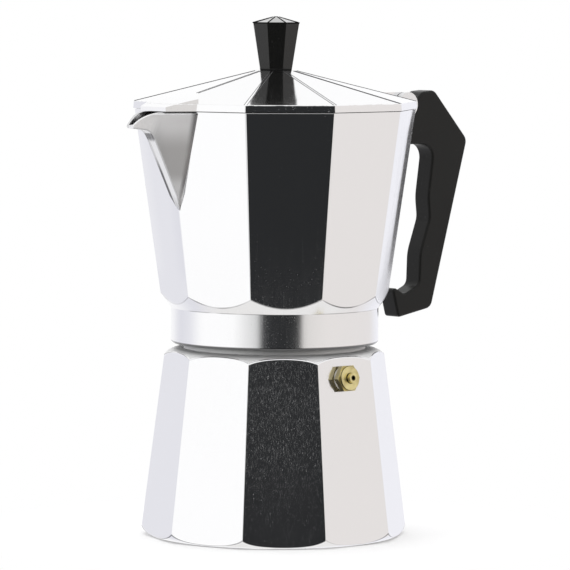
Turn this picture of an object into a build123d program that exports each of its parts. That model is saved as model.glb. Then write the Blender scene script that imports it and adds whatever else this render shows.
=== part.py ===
# Stovetop moka pot with ten-sided aluminium walls, a black handle and a hinged lid.
# Millimetres. The origin is the centre of the foot, +Z is up, the handle points
# along +X and the spout along -X.
import os
from math import asin, atan, cos, degrees, radians, sin, sqrt, tan

from build123d import *

os.makedirs("parts", exist_ok=True)

# Faceted walls
sides = 10
half_side = radians(180 / sides)
side_edge_round = 1.2

# Clearances
pin_fit = 0.03
press_gap = 0.02
running_gap = 0.4
seat_gap = 0.3
turned_reach = 3.0

# Boiler
foot_corner = 54.85
shoulder_corner = 44.96
shoulder_height = 76.6
boiler_turn = -1.35
boiler_wall = 3.2
boiler_floor = 4.0
foot_round = 5.0
foot_scallop = 0.4
shoulder_round = 8.7
shoulder_scallop = 1.5
neck_radius = 37.2
neck_wall = 2.7
neck_height = 11.4
neck_lead_in = 0.8
thread_room = 1.1

# Safety valve on the boiler
valve_height = 67.0
valve_offset = 0.9
hex_sides = 6
valve_hex_flats = 10.2
valve_hex_height = 2.2
valve_face_radius = 5.0
valve_face_height = 1.0
valve_face_edge = 0.3
valve_shank_radius = 3.3
valve_shank_length = 7.0
valve_washer_radius = 4.7
valve_washer_thickness = 0.8
valve_chamber_radius = 2.0
valve_seat_wall = 1.5
valve_orifice_radius = 1.1
valve_ball_radius = 1.5
valve_plug_length = 3.0
valve_nozzle_length = 1.8
valve_vent_radius = 0.8
spring_wire = 0.4
spring_turns = 4
turn_quarters = 4

# Funnel and its plate
funnel_wall = 1.0
flange_thickness = 0.9
flange_radius = 37.0
basket_depth = 20.9
basket_cone_drop = 6.4
plate_ledge = 2.0
stem_radius = 5.5
stem_end_height = 9.0

# Perforated plates
plate_thickness = 0.8
hole_radius = 1.0
first_ring_holes = 6
funnel_hole_spacing = 9.0
funnel_hole_rings = 3
filter_hole_spacing = 8.0
filter_hole_rings = 3

# Gasket and filter plate
gasket_thickness = 3.0
gasket_inner_radius = 28.0
filter_radius = 33.0

# Collector
collar_radius = 42.5
collar_gap = 2.2
collar_height = 14.5
collar_edge = 0.8
belly_drop = 6.4
belly_scallop = 0.2
rim_corner = 57.77
belly_corner = 46.13
upper_height = 81.0
collector_wall = 2.9
collector_floor_height = 5.8
collector_floor_round = 4.0
dome_radius = 27.0
dome_height = 3.0
dome_crown_radius = 8.0

# Spout on the corner opposite the handle
spout_start_drop = 39.6
keel_bend_setback = 9.0
keel_bend_drop = 7.5
keel_bend_round = 2.2
keel_bend_steps = 4
keel_half_width = 2.4
keel_foot_half = 0.5
keel_full_run = 2.72
keel_share = 0.75
keel_round = 1.2
spout_tip_reach = 77.6
spout_tip_drop = 6.3
spout_tip_half_width = 2.75
spout_attach = 14.0
spout_wall = 2.0
beak_floor = 0.8
lip_bend_setback = 12.4
lip_tip_drop = 5.2

# Brew column inside the collector
column_height = 47.5
column_base_radius = 8.2
column_top_radius = 5.9
column_bore_radius = 3.6
column_flange_radius = 11.0
column_flange_thickness = 2.0
column_spigot_radius = 5.5
column_window_width = 4.0
column_window_height = 6.0
cap_radius = 7.2
cap_height = 4.5
cap_edge = 1.5
cap_spigot_length = 4.0

# Hinge at the handle's corner
hinge_reach = 70.4
hinge_rise = 0.6
hinge_pin_radius = 1.5
knuckle_radius = 5.2
tongue_width = 4.0
tongue_thickness = 2.7
ear_width = 10.4
ear_shelf_drop = 1.5
ear_root_drop = 12.704
lug_width = 4.0
lug_overhang = 3.4
lug_bottom_drop = 13.6

# Handle
handle_thickness = 8.8
handle_edge_round = 1.0
handle_corner_round = 4.0
handle_tip_round = 1.4
handle_top_rise = 6.1
handle_arm_depth = 22.2
handle_pin_radius = 1.5
handle_pin_setback = 0.477
handle_pin_drop = 11.2
handle_slot_run = 7.6

# Handle outline: reach past the hinge and height above the rim
handle_crest = (9.2, 5.9)
handle_brow = (15.9, 6.5)
handle_nose = (35.4, -14.6)
handle_heel = (14.9, -85.2)
handle_toe = (-4.2, -88.6)
handle_tip = (-8.1, -74.9)
grip_hollow = (-0.5, -78.9)
grip_foot = (7.7, -75.2)
grip_low_swell = (8.2, -61.8)
grip_low_dip = (13.6, -47.3)
grip_high_swell = (12.6, -38.5)
grip_top_run = 15.9
grip_rounds = (3.0, 3.5, 18.0, 8.0, 20.0, 6.0)
handle_recess_angle = 20.0

# Lid
lid_corner = 58.4
lid_edge_round = 1.6
lid_skirt_height = 2.95
lid_draft = 0.25
lid_crown_rise = 12.4
lid_crown_corner = 8.4
lid_wall = 1.8
hood_ridge_reach = 42.6
hood_front_overhang = 0.6
hood_front_half = 7.7
hood_side_rise = 4.9
hood_front_rise = 1.7
hood_wall = 1.5

# Knob
knob_sides = 8
knob_foot_corner = 6.9
knob_rim_corner = 10.1
knob_height = 19.45
knob_peak = 2.6
knob_peak_corner = 0.6
knob_turn = -17.9
knob_bore_depth = 12.0
screw_radius = 2.0
screw_head_radius = 3.8
screw_head_height = 2.6
screw_drive_radius = 1.3
screw_drive_depth = 1.2
knob_washer_radius = 5.0
knob_washer_thickness = 0.8

# Heights that the pieces share
neck_top = shoulder_height + neck_height
flange_top = neck_top + flange_thickness
gasket_top = flange_top + gasket_thickness
seat_height = gasket_top + plate_thickness
collar_bottom = shoulder_height + collar_gap
collar_top = collar_bottom + collar_height
floor_height = seat_height + collector_floor_height
dome_top = seat_height + dome_height
rim_height = collar_top + upper_height
hinge_height = rim_height + hinge_rise
lug_end_reach = hinge_reach + lug_overhang
lid_bottom = rim_height + seat_gap
skirt_top = lid_bottom + lid_skirt_height
crown_height = skirt_top + lid_crown_rise
neck_bore = neck_radius - neck_wall
collar_bore = neck_radius + thread_room
basket_radius = neck_bore - running_gap


def faceted_form(low_corner, high_corner, bottom, top, low_round, low_scallop,
                 high_round=0, high_scallop=turned_reach, turn=0):
    # Ten-sided frustum with a turned foot and shoulder, so that its sides end in scallops.
    lean = (high_corner - low_corner) / (top - bottom)
    low_edge = low_corner + lean * low_round + low_scallop
    high_edge = high_corner - lean * high_round + high_scallop
    with BuildPart() as form:
        with BuildSketch(Plane.XY.offset(bottom)):
            RegularPolygon(low_corner, sides, rotation=turn)
        extrude(amount=top - bottom, taper=-degrees(atan(lean * cos(half_side))))
        fillet(form.edges().group_by(Axis.Z)[1], side_edge_round)
        with BuildSketch(Plane.XZ):
            with BuildLine():
                foot = Line((0, bottom), (low_edge - low_round, bottom))
                curve = JernArc(foot @ 1, (1, 0), low_round, 90)
                side = Line(curve @ 1, (high_edge, top - high_round))
                end = side @ 1
                if high_round:
                    end = JernArc(end, (0, 1), high_round, 90) @ 1
                Polyline(end, (0, top), (0, bottom))
            make_face()
        revolve(axis=Axis.Z, mode=Mode.INTERSECT)
    return form.part


# Boiler with its screw neck
inner_step = boiler_wall / cos(half_side)
boiler_lean = (shoulder_corner - foot_corner) / shoulder_height
boiler_ceiling = shoulder_height - boiler_wall
boiler_shape = faceted_form(
    foot_corner, shoulder_corner, 0, shoulder_height,
    foot_round, foot_scallop, shoulder_round, shoulder_scallop, boiler_turn)
boiler_room = faceted_form(
    foot_corner + boiler_lean * boiler_floor - inner_step,
    shoulder_corner - boiler_lean * boiler_wall - inner_step,
    boiler_floor, boiler_ceiling,
    foot_round, foot_scallop, shoulder_round - boiler_wall, shoulder_scallop, boiler_turn)

# The valve stands square on the side that faces -Y
valve_side = radians(boiler_turn - 90)
valve_apothem = (foot_corner + boiler_lean * valve_height) * cos(half_side)
valve_tilt = atan(-boiler_lean * cos(half_side))
valve_along = Vector(-sin(valve_side), cos(valve_side), 0)
valve_normal = Vector(
    cos(valve_side) * cos(valve_tilt), sin(valve_side) * cos(valve_tilt), sin(valve_tilt))
valve_point = Vector(
    valve_apothem * cos(valve_side), valve_apothem * sin(valve_side), valve_height)
valve_plane = Plane(
    valve_point - valve_along * valve_offset, x_dir=valve_along, z_dir=valve_normal)

with BuildPart() as boiler:
    add(boiler_shape)
    with BuildSketch(Plane.XY.offset(boiler_ceiling)):
        Circle(neck_radius)
    extrude(amount=neck_top - boiler_ceiling)
    chamfer(boiler.edges().group_by(Axis.Z)[-1], neck_lead_in)
    add(boiler_room, mode=Mode.SUBTRACT)
    with BuildSketch(Plane.XY.offset(boiler_ceiling - shoulder_round)):
        Circle(neck_bore)
    extrude(amount=neck_top + shoulder_round, mode=Mode.SUBTRACT)
    with BuildSketch(valve_plane):
        Circle(valve_shank_radius + press_gap)
    extrude(amount=valve_shank_length, both=True, mode=Mode.SUBTRACT)
boiler.part.label = "boiler"
export_step(boiler.part, "parts/boiler.step")

# Safety valve: washer, hexagonal body, nozzle plug, ball and spring
hex_bottom = valve_washer_thickness
hex_top = hex_bottom + valve_hex_height
valve_face = hex_top + valve_face_height
plug_start = valve_face - valve_plug_length
chamber_bottom = valve_seat_wall - valve_shank_length
ball_height = chamber_bottom + sqrt(valve_ball_radius**2 - valve_orifice_radius**2) + pin_fit

with BuildPart() as valve_washer:
    with BuildSketch(valve_plane):
        Circle(valve_washer_radius)
        Circle(valve_shank_radius + press_gap, mode=Mode.SUBTRACT)
    extrude(amount=valve_washer_thickness)
valve_washer.part.label = "valve_washer"
export_step(valve_washer.part, "parts/valve_washer.step")

with BuildPart() as valve_body:
    with BuildSketch(valve_plane.offset(hex_bottom)):
        RegularPolygon(valve_hex_flats / 2, hex_sides, major_radius=False)
    extrude(amount=valve_hex_height)
    with BuildSketch(valve_plane.offset(hex_top)):
        Circle(valve_face_radius)
    extrude(amount=valve_face_height)
    chamfer(valve_body.faces().sort_by(Axis(valve_point, valve_normal))[-1].edges(), valve_face_edge)
    with BuildSketch(valve_plane.offset(-valve_shank_length)):
        Circle(valve_shank_radius)
    extrude(amount=valve_shank_length + hex_bottom)
    with BuildSketch(valve_plane.offset(chamber_bottom)):
        Circle(valve_chamber_radius)
    extrude(amount=valve_face - chamber_bottom, mode=Mode.SUBTRACT)
    with BuildSketch(valve_plane.offset(-valve_shank_length)):
        Circle(valve_orifice_radius)
    extrude(amount=valve_seat_wall, mode=Mode.SUBTRACT)
valve_body.part.label = "valve_body"
export_step(valve_body.part, "parts/valve_body.step")

with BuildPart() as valve_plug:
    with BuildSketch(valve_plane.offset(plug_start)):
        Circle(valve_chamber_radius - press_gap)
        Circle(valve_vent_radius, mode=Mode.SUBTRACT)
    extrude(amount=valve_plug_length + valve_nozzle_length)
valve_plug.part.label = "valve_plug"
export_step(valve_plug.part, "parts/valve_plug.step")

with BuildPart(valve_plane.offset(ball_height)) as valve_ball:
    Sphere(valve_ball_radius)
valve_ball.part.label = "valve_ball"
export_step(valve_ball.part, "parts/valve_ball.step")

# The spring is one wire wound from quarter turns between the ball and the plug
spring_radius = valve_ball_radius - spring_wire / 2
spring_start = ball_height + valve_ball_radius + spring_wire / 2
spring_end = plug_start - spring_wire / 2 - press_gap
spring_quarters = turn_quarters * spring_turns
spring_rise = (spring_end - spring_start) / spring_quarters


def spring_point(quarters):
    turn = radians(360 / turn_quarters * quarters)
    return valve_plane.from_local_coords(Vector(
        spring_radius * cos(turn), spring_radius * sin(turn), spring_start + spring_rise * quarters))


with BuildPart() as valve_spring:
    with BuildLine() as spring_path:
        for quarter in range(spring_quarters):
            ThreePointArc(
                spring_point(quarter), spring_point(quarter + 0.5), spring_point(quarter + 1))
    with BuildSketch(Plane(spring_path.line @ 0, z_dir=spring_path.line % 0)):
        Circle(spring_wire / 2)
    sweep()
valve_spring.part.label = "valve_spring"
export_step(valve_spring.part, "parts/valve_spring.step")

# Funnel with its flange, basket, cone and stem
basket_inner = basket_radius - funnel_wall
ledge_height = neck_top - basket_depth
cone_bottom = ledge_height - basket_cone_drop
with BuildPart() as funnel:
    with BuildSketch(Plane.XZ):
        Polygon(
            (basket_inner, flange_top), (flange_radius, flange_top), (flange_radius, neck_top),
            (basket_radius, neck_top), (basket_radius, ledge_height - funnel_wall),
            (stem_radius, cone_bottom - funnel_wall), (stem_radius, stem_end_height),
            (stem_radius - funnel_wall, stem_end_height), (stem_radius - funnel_wall, cone_bottom),
            (basket_inner - plate_ledge, ledge_height), (basket_inner, ledge_height), align=None)
    revolve(axis=Axis.Z)
funnel.part.label = "funnel"
export_step(funnel.part, "parts/funnel.step")


def perforated_plate(radius, height, rings, spacing):
    # Disc with a hole in the middle and rings of six, twelve and more holes around it.
    with BuildPart() as plate:
        with BuildSketch(Plane.XY.offset(height)):
            Circle(radius)
            Circle(hole_radius, mode=Mode.SUBTRACT)
            for ring in range(1, rings + 1):
                with PolarLocations(ring * spacing, ring * first_ring_holes):
                    Circle(hole_radius, mode=Mode.SUBTRACT)
        extrude(amount=plate_thickness)
    return plate.part


with BuildPart() as funnel_plate:
    add(perforated_plate(
        basket_inner - running_gap / 2, ledge_height, funnel_hole_rings, funnel_hole_spacing))
funnel_plate.part.label = "funnel_plate"
export_step(funnel_plate.part, "parts/funnel_plate.step")

# Gasket and filter plate under the collector
with BuildPart() as gasket:
    with BuildSketch(Plane.XY.offset(flange_top)):
        Circle(collar_bore - running_gap)
        Circle(gasket_inner_radius, mode=Mode.SUBTRACT)
    extrude(amount=gasket_thickness)
gasket.part.label = "gasket"
export_step(gasket.part, "parts/gasket.step")

with BuildPart() as filter_plate:
    add(perforated_plate(filter_radius, gasket_top, filter_hole_rings, filter_hole_spacing))
filter_plate.part.label = "filter_plate"
export_step(filter_plate.part, "parts/filter_plate.step")

# Spout: a trough that grows out of the corner, bends at its keel and narrows to the tip.
keel_bend_reach = spout_tip_reach - keel_bend_setback
lip_bend_reach = spout_tip_reach - lip_bend_setback
spout_attach_reach = rim_corner - spout_attach * sin(half_side)
spout_attach_half = spout_attach * cos(half_side)
spout_narrowing = (spout_attach_half - spout_tip_half_width) / (spout_tip_reach - spout_attach_reach)
spout_foot_height = rim_height - spout_start_drop
corner_lean = (rim_corner - belly_corner) / upper_height
spout_foot_reach = rim_corner - corner_lean * spout_start_drop
keel_full_reach = spout_foot_reach + keel_full_run
keel_slope = (spout_start_drop - keel_bend_drop) / (keel_bend_reach - spout_foot_reach)
beak_slope = (keel_bend_drop - spout_tip_drop) / (spout_tip_reach - keel_bend_reach)
spout_root_reach = spout_foot_reach - 2 * collector_wall


def spout_form(wall, floor, rise, overrun):
    # Trough set in by its wall and floor, and carried past the rim and the tip when it cuts.
    bend_reach = keel_bend_reach - wall / 2
    bend_height = rim_height - keel_bend_drop + wall
    tip_reach = spout_tip_reach + overrun
    foot_height = spout_foot_height + wall * sqrt(1 + keel_slope**2)
    root_height = foot_height - keel_slope * (spout_foot_reach - spout_root_reach)
    full_height = foot_height + keel_slope * keel_full_run
    with BuildLine() as bend:
        Bezier(
            (bend_reach - keel_bend_round, bend_height - keel_bend_round * keel_slope),
            (bend_reach, bend_height),
            (bend_reach + keel_bend_round, bend_height + keel_bend_round * beak_slope))
    bend_points = [bend.line @ (step / keel_bend_steps) for step in range(keel_bend_steps + 1)]
    sections = [
        (spout_root_reach, root_height, keel_foot_half),
        (spout_foot_reach, foot_height, keel_foot_half),
        (keel_full_reach, full_height, keel_half_width),
        *((point.X, point.Y, keel_half_width) for point in bend_points),
        (tip_reach, rim_height - spout_tip_drop + floor, keel_half_width)]
    with BuildPart() as form:
        for reach, keel_height, full_half in sections:
            half_width = spout_attach_half - spout_narrowing * (reach - spout_attach_reach)
            top_half = max(half_width - wall, spout_tip_half_width / 2)
            keel_half = min(full_half * (half_width - wall / 2) / half_width, top_half * keel_share)
            with BuildSketch(Plane.YZ.offset(-reach)) as section:
                Polygon(
                    (-top_half, rim_height + rise), (top_half, rim_height + rise),
                    (keel_half, keel_height), (-keel_half, keel_height), align=None)
                fillet(
                    section.vertices().group_by(Axis.Z)[0],
                    keel_round * keel_half / keel_half_width)
        loft(ruled=True)
    return form.part


# Collector with its collar, spout, hinge ears and lug for the handle
collector_step = collector_wall / cos(half_side)
floor_corner = belly_corner + corner_lean * (floor_height - collar_top)
belly_end = belly_corner + corner_lean * belly_drop + belly_scallop
collector_room = faceted_form(
    floor_corner - collector_step, rim_corner - collector_step, floor_height, rim_height,
    collector_floor_round, foot_scallop)
ear_root_reach = rim_corner - 2 * collector_wall
ear_root_z = rim_height - ear_root_drop
ear_run = hinge_reach - ear_root_reach
ear_rise = hinge_height - ear_root_z
ear_angle = atan(ear_rise / ear_run) - asin(knuckle_radius / sqrt(ear_run**2 + ear_rise**2))
ear_tangent_x = hinge_reach + knuckle_radius * sin(ear_angle)
ear_tangent_z = hinge_height - knuckle_radius * cos(ear_angle)
ear_shelf = rim_height - ear_shelf_drop
slot_floor = hinge_height - knuckle_radius - seat_gap
slot_ceiling = hinge_height + 2 * knuckle_radius
slot_start = hinge_reach - knuckle_radius - seat_gap
slot_end = lug_end_reach + knuckle_radius
lug_bottom = rim_height - lug_bottom_drop
arm_end = rim_corner - corner_lean * ear_shelf_drop + running_gap
handle_pin_reach = (arm_end + lug_end_reach) / 2 - handle_pin_setback
handle_pin_height = rim_height - handle_pin_drop

with BuildPart() as collector:
    with BuildSketch(Plane.XY.offset(collar_top)):
        RegularPolygon(belly_corner, sides)
    extrude(amount=upper_height, taper=-degrees(atan(corner_lean * cos(half_side))))
    fillet(collector.edges().group_by(Axis.Z)[1], side_edge_round)
    with BuildSketch(Plane.XZ):
        Polygon(
            (0, collar_top), (collar_radius, collar_top), (belly_end, collar_top + belly_drop),
            (rim_corner + turned_reach, rim_height), (0, rim_height), align=None)
    revolve(axis=Axis.Z, mode=Mode.INTERSECT)
    add(spout_form(0, 0, 0, 0))
    with BuildSketch(Plane.XZ):
        with BuildLine():
            lip = TangentArc(
                (-lip_bend_reach, rim_height), (-spout_tip_reach, rim_height - lip_tip_drop),
                tangent=(-1, 0))
            Polyline(lip @ 1, (-spout_tip_reach, rim_height), lip @ 0)
        make_face()
    extrude(amount=spout_attach, both=True, mode=Mode.SUBTRACT)
    with BuildSketch(Plane.XZ):
        Polygon(
            (ear_root_reach, ear_root_z), (ear_root_reach, ear_shelf),
            (hinge_reach - knuckle_radius - tongue_thickness, ear_shelf),
            (hinge_reach - knuckle_radius, hinge_height), (hinge_reach, hinge_height),
            (ear_tangent_x, ear_tangent_z), align=None)
        with Locations((hinge_reach, hinge_height)):
            Circle(knuckle_radius)
    extrude(amount=ear_width / 2, both=True)
    with BuildSketch(Plane.XZ):
        Polygon(
            (slot_start, slot_floor), (slot_end, slot_floor),
            (slot_end, slot_ceiling), (slot_start, slot_ceiling), align=None)
    extrude(amount=tongue_width / 2 + seat_gap, both=True, mode=Mode.SUBTRACT)
    with BuildSketch(Plane.XZ):
        Polygon(
            (ear_root_reach, lug_bottom), (lug_end_reach, lug_bottom),
            (lug_end_reach, ear_tangent_z - lug_width),
            (ear_tangent_x, slot_floor), (ear_root_reach, slot_floor), align=None)
        with Locations((handle_pin_reach, handle_pin_height)):
            Circle(handle_pin_radius + press_gap, mode=Mode.SUBTRACT)
    extrude(amount=lug_width / 2, both=True)
    with BuildSketch(Plane.XZ):
        with Locations((hinge_reach, hinge_height)):
            Circle(hinge_pin_radius + press_gap)
    extrude(amount=ear_width, both=True, mode=Mode.SUBTRACT)
    add(collector_room, mode=Mode.SUBTRACT)
    add(spout_form(spout_wall, beak_floor, seat_gap, seat_gap), mode=Mode.SUBTRACT)
    with BuildSketch(Plane.XY.offset(collar_bottom)):
        Circle(collar_radius)
    extrude(amount=collar_height)
    chamfer(collector.edges().group_by(Axis.Z)[0], collar_edge)
    with BuildSketch(Plane.XZ):
        Polygon(
            (0, collar_bottom), (collar_bore, collar_bottom), (collar_bore, seat_height),
            (dome_radius, seat_height), (dome_crown_radius, dome_top),
            (column_spigot_radius + press_gap, dome_top),
            (column_spigot_radius + press_gap, floor_height), (0, floor_height), align=None)
    revolve(axis=Axis.Z, mode=Mode.SUBTRACT)
collector.part.label = "collector"
export_step(collector.part, "parts/collector.step")

# Brew column and its cap
column_top = floor_height + column_height
column_foot = floor_height + column_flange_thickness
with BuildPart() as column:
    with BuildSketch(Plane.XZ):
        Polygon(
            (column_bore_radius, dome_top), (column_spigot_radius, dome_top),
            (column_spigot_radius, floor_height), (column_flange_radius, floor_height),
            (column_base_radius, column_foot), (column_top_radius, column_top),
            (column_bore_radius, column_top), align=None)
    revolve(axis=Axis.Z)
    with BuildSketch(Plane.XZ):
        with Locations((0, column_top - cap_spigot_length - column_window_height / 2)):
            SlotOverall(column_window_height, column_window_width, rotation=90)
    extrude(amount=column_base_radius, both=True, mode=Mode.SUBTRACT)
column.part.label = "column"
export_step(column.part, "parts/column.step")

with BuildPart() as column_cap:
    with BuildSketch(Plane.XZ):
        with BuildLine():
            crown = TangentArc(
                (0, column_top + cap_height), (cap_radius, column_top + cap_edge), tangent=(1, 0))
            Polyline(
                crown @ 1, (cap_radius, column_top), (column_bore_radius - press_gap, column_top),
                (column_bore_radius - press_gap, column_top - cap_spigot_length),
                (0, column_top - cap_spigot_length), crown @ 0)
        make_face()
    revolve(axis=Axis.Z)
column_cap.part.label = "column_cap"
export_step(column_cap.part, "parts/column_cap.step")


def cross_pin(reach, height, radius, length):
    with BuildPart() as pin:
        with BuildSketch(Plane.XZ):
            with Locations((reach, height)):
                Circle(radius)
        extrude(amount=length / 2, both=True)
    return pin.part


with BuildPart() as hinge_pin:
    add(cross_pin(hinge_reach, hinge_height, hinge_pin_radius, ear_width))
hinge_pin.part.label = "hinge_pin"
export_step(hinge_pin.part, "parts/hinge_pin.step")

with BuildPart() as handle_pin:
    add(cross_pin(
        handle_pin_reach, handle_pin_height, handle_pin_radius, handle_thickness - press_gap))
handle_pin.part.label = "handle_pin"
export_step(handle_pin.part, "parts/handle_pin.step")

# Handle: a flat moulding that straddles the lug and gives way round the hinge
arm_top = rim_height + handle_top_rise
arm_bottom = arm_top - handle_arm_depth
recess_radius = knuckle_radius + running_gap
recess_high = (
    hinge_reach + recess_radius * cos(radians(handle_recess_angle)),
    hinge_height + recess_radius * sin(radians(handle_recess_angle)))
recess_low = (
    hinge_reach + recess_radius * sin(ear_angle), hinge_height - recess_radius * cos(ear_angle))
arm_end_top = recess_low[1] - (recess_low[0] - arm_end) * tan(ear_angle)


def from_hinge(point):
    return (hinge_reach + point[0], rim_height + point[1])


with BuildPart() as handle:
    with BuildSketch(Plane.XZ):
        with BuildLine():
            outline = FilletPolyline(
                recess_high, from_hinge(handle_crest), from_hinge(handle_brow),
                from_hinge(handle_nose), from_hinge(handle_heel), from_hinge(handle_toe),
                from_hinge(handle_tip), from_hinge(grip_hollow), from_hinge(grip_foot),
                from_hinge(grip_low_swell), from_hinge(grip_low_dip), from_hinge(grip_high_swell),
                (hinge_reach + grip_top_run, arm_bottom),
                (arm_end, arm_bottom), (arm_end, arm_end_top), recess_low,
                radius=[handle_corner_round] * 4 + [handle_tip_round] * 2
                + list(grip_rounds) + [handle_tip_round] * 2)
            ThreePointArc(outline @ 1, (hinge_reach + recess_radius, hinge_height), outline @ 0)
        make_face()
    extrude(amount=handle_thickness / 2, both=True)
    fillet(handle.faces().filter_by(Axis.Y).edges(), handle_edge_round)
    with BuildSketch(Plane.XZ):
        Polygon(
            (0, lug_bottom - seat_gap), (lug_end_reach + seat_gap, lug_bottom - seat_gap),
            (hinge_reach + recess_radius + seat_gap, slot_floor),
            (hinge_reach + handle_slot_run, arm_top + knuckle_radius),
            (0, arm_top + knuckle_radius), align=None)
    extrude(amount=tongue_width / 2 + seat_gap, both=True, mode=Mode.SUBTRACT)
    with BuildSketch(Plane.XZ):
        with Locations((handle_pin_reach, handle_pin_height)):
            Circle(handle_pin_radius + press_gap)
    extrude(amount=handle_thickness, both=True, mode=Mode.SUBTRACT)
handle.part.label = "handle"
export_step(handle.part, "parts/handle.step")

# Lid: skirt and ten-sided roof, with a hood over the spout and a tongue for the hinge
roof_corner = lid_corner - lid_draft
roof_slope = lid_crown_rise / (roof_corner - lid_crown_corner)
lid_step = lid_wall / cos(half_side)
hood_front_reach = lip_bend_reach + hood_front_overhang
tongue_top = hinge_height + knuckle_radius
tongue_bottom = tongue_top - tongue_thickness
tongue_root = roof_corner - (tongue_top - skirt_top) / roof_slope


def lid_form(inset, drop, foot):
    # Skirt and roof of the lid, set in and lowered for its inside.
    with BuildPart() as form:
        for corner, height in (
                (lid_corner - inset, foot), (roof_corner - inset, skirt_top - drop + inset * roof_slope),
                (lid_crown_corner, crown_height - drop)):
            with BuildSketch(Plane.XY.offset(height)) as section:
                RegularPolygon(corner, sides)
                fillet(section.vertices(), lid_edge_round)
        loft(ruled=True)
    return form.part


def hood_form(inset, drop, foot):
    # Dormer over the spout: a kite in plan under a roof that bends down to its front.
    spread = atan(spout_attach_half / (spout_attach_reach - hood_ridge_reach))
    ridge = hood_ridge_reach + inset / sin(spread)
    with BuildPart() as form:
        with BuildSketch(Plane.XY.offset(foot)):
            Polygon(
                (-ridge, 0), (-spout_attach_reach, spout_attach_half - inset),
                (inset - hood_front_reach, hood_front_half - inset),
                (inset - hood_front_reach, inset - hood_front_half),
                (-spout_attach_reach, inset - spout_attach_half), align=None)
        extrude(amount=crown_height - foot)
        with BuildSketch(Plane.XZ):
            with BuildLine():
                ridge_height = skirt_top + (roof_corner - hood_ridge_reach) * roof_slope
                roof = ThreePointArc(
                    (-hood_ridge_reach, ridge_height - drop),
                    (-spout_attach_reach, lid_bottom + hood_side_rise - drop),
                    (-hood_front_reach, lid_bottom + hood_front_rise - drop))
                Polyline(roof @ 1, (-hood_front_reach, foot), (-hood_ridge_reach, foot), roof @ 0)
            make_face()
        extrude(amount=spout_attach, both=True, mode=Mode.INTERSECT)
    return form.part


with BuildPart() as lid:
    add(lid_form(0, 0, lid_bottom))
    add(hood_form(0, 0, lid_bottom))
    with BuildSketch(Plane.XZ):
        Polygon(
            (tongue_root, tongue_top), (hinge_reach, tongue_top), (hinge_reach, tongue_bottom),
            (roof_corner, tongue_bottom), (roof_corner - lid_wall, skirt_top - seat_gap), align=None)
        with Locations((hinge_reach, hinge_height)):
            Circle(knuckle_radius)
            Circle(hinge_pin_radius + pin_fit, mode=Mode.SUBTRACT)
    extrude(amount=tongue_width / 2, both=True)
    add(lid_form(lid_step, lid_wall, lid_bottom), mode=Mode.SUBTRACT)
    add(hood_form(hood_wall, hood_wall, lid_bottom), mode=Mode.SUBTRACT)
    with BuildSketch(Plane.XY.offset(crown_height)):
        Circle(screw_radius + press_gap)
    extrude(amount=-lid_crown_rise, mode=Mode.SUBTRACT)
lid.part.label = "lid"
export_step(lid.part, "parts/lid.step")

# Knob with its screw and washer under the lid's crown
crown_underside = crown_height - lid_wall
washer_bottom = crown_underside - knob_washer_thickness
knob_rim = crown_height + knob_height
knob_lean = (knob_rim_corner - knob_foot_corner) / knob_height
with BuildPart() as knob:
    with BuildSketch(Plane.XY.offset(crown_height)):
        RegularPolygon(knob_foot_corner, knob_sides, rotation=knob_turn)
    extrude(amount=knob_height, taper=-degrees(atan(knob_lean * cos(radians(180 / knob_sides)))))
    with BuildSketch(Plane.XY.offset(knob_rim)):
        RegularPolygon(knob_rim_corner, knob_sides, rotation=knob_turn)
    with BuildSketch(Plane.XY.offset(knob_rim + knob_peak)):
        RegularPolygon(knob_peak_corner, knob_sides, rotation=knob_turn)
    loft(ruled=True)
    with BuildSketch(Plane.XY.offset(crown_height)):
        Circle(screw_radius + press_gap)
    extrude(amount=knob_bore_depth, mode=Mode.SUBTRACT)
knob.part.label = "knob"
export_step(knob.part, "parts/knob.step")

with BuildPart() as knob_washer:
    with BuildSketch(Plane.XY.offset(washer_bottom)):
        Circle(knob_washer_radius)
        Circle(screw_radius + press_gap, mode=Mode.SUBTRACT)
    extrude(amount=knob_washer_thickness)
knob_washer.part.label = "knob_washer"
export_step(knob_washer.part, "parts/knob_washer.step")

with BuildPart() as knob_screw:
    with BuildSketch(Plane.XY.offset(washer_bottom)):
        Circle(screw_head_radius)
    extrude(amount=-screw_head_height)
    fillet(knob_screw.edges().group_by(Axis.Z)[0], screw_head_height / 2)
    with BuildSketch(Plane.XY.offset(washer_bottom - screw_head_height)):
        RegularPolygon(screw_drive_radius, hex_sides)
    extrude(amount=screw_drive_depth, mode=Mode.SUBTRACT)
    with BuildSketch(Plane.XY.offset(washer_bottom)):
        Circle(screw_radius)
    extrude(amount=crown_height + knob_bore_depth - screw_radius - washer_bottom)
knob_screw.part.label = "knob_screw"
export_step(knob_screw.part, "parts/knob_screw.step")
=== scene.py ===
import math

import bpy
from mathutils import Matrix, Vector


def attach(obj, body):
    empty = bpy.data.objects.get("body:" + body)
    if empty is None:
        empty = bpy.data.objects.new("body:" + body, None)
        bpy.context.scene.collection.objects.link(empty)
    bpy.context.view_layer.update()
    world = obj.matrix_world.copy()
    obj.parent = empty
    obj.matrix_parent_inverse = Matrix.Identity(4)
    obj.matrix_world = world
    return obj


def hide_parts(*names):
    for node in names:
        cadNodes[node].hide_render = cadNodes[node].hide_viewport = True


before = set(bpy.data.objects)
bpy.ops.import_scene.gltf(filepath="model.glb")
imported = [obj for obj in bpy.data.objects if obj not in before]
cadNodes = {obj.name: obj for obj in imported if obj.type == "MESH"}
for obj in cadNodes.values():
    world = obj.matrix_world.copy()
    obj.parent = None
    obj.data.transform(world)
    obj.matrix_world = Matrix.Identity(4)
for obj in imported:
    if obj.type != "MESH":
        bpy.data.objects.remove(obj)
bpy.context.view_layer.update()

mm = 0.001
print("frame loaded with", len(cadNodes), "nodes")


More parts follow.
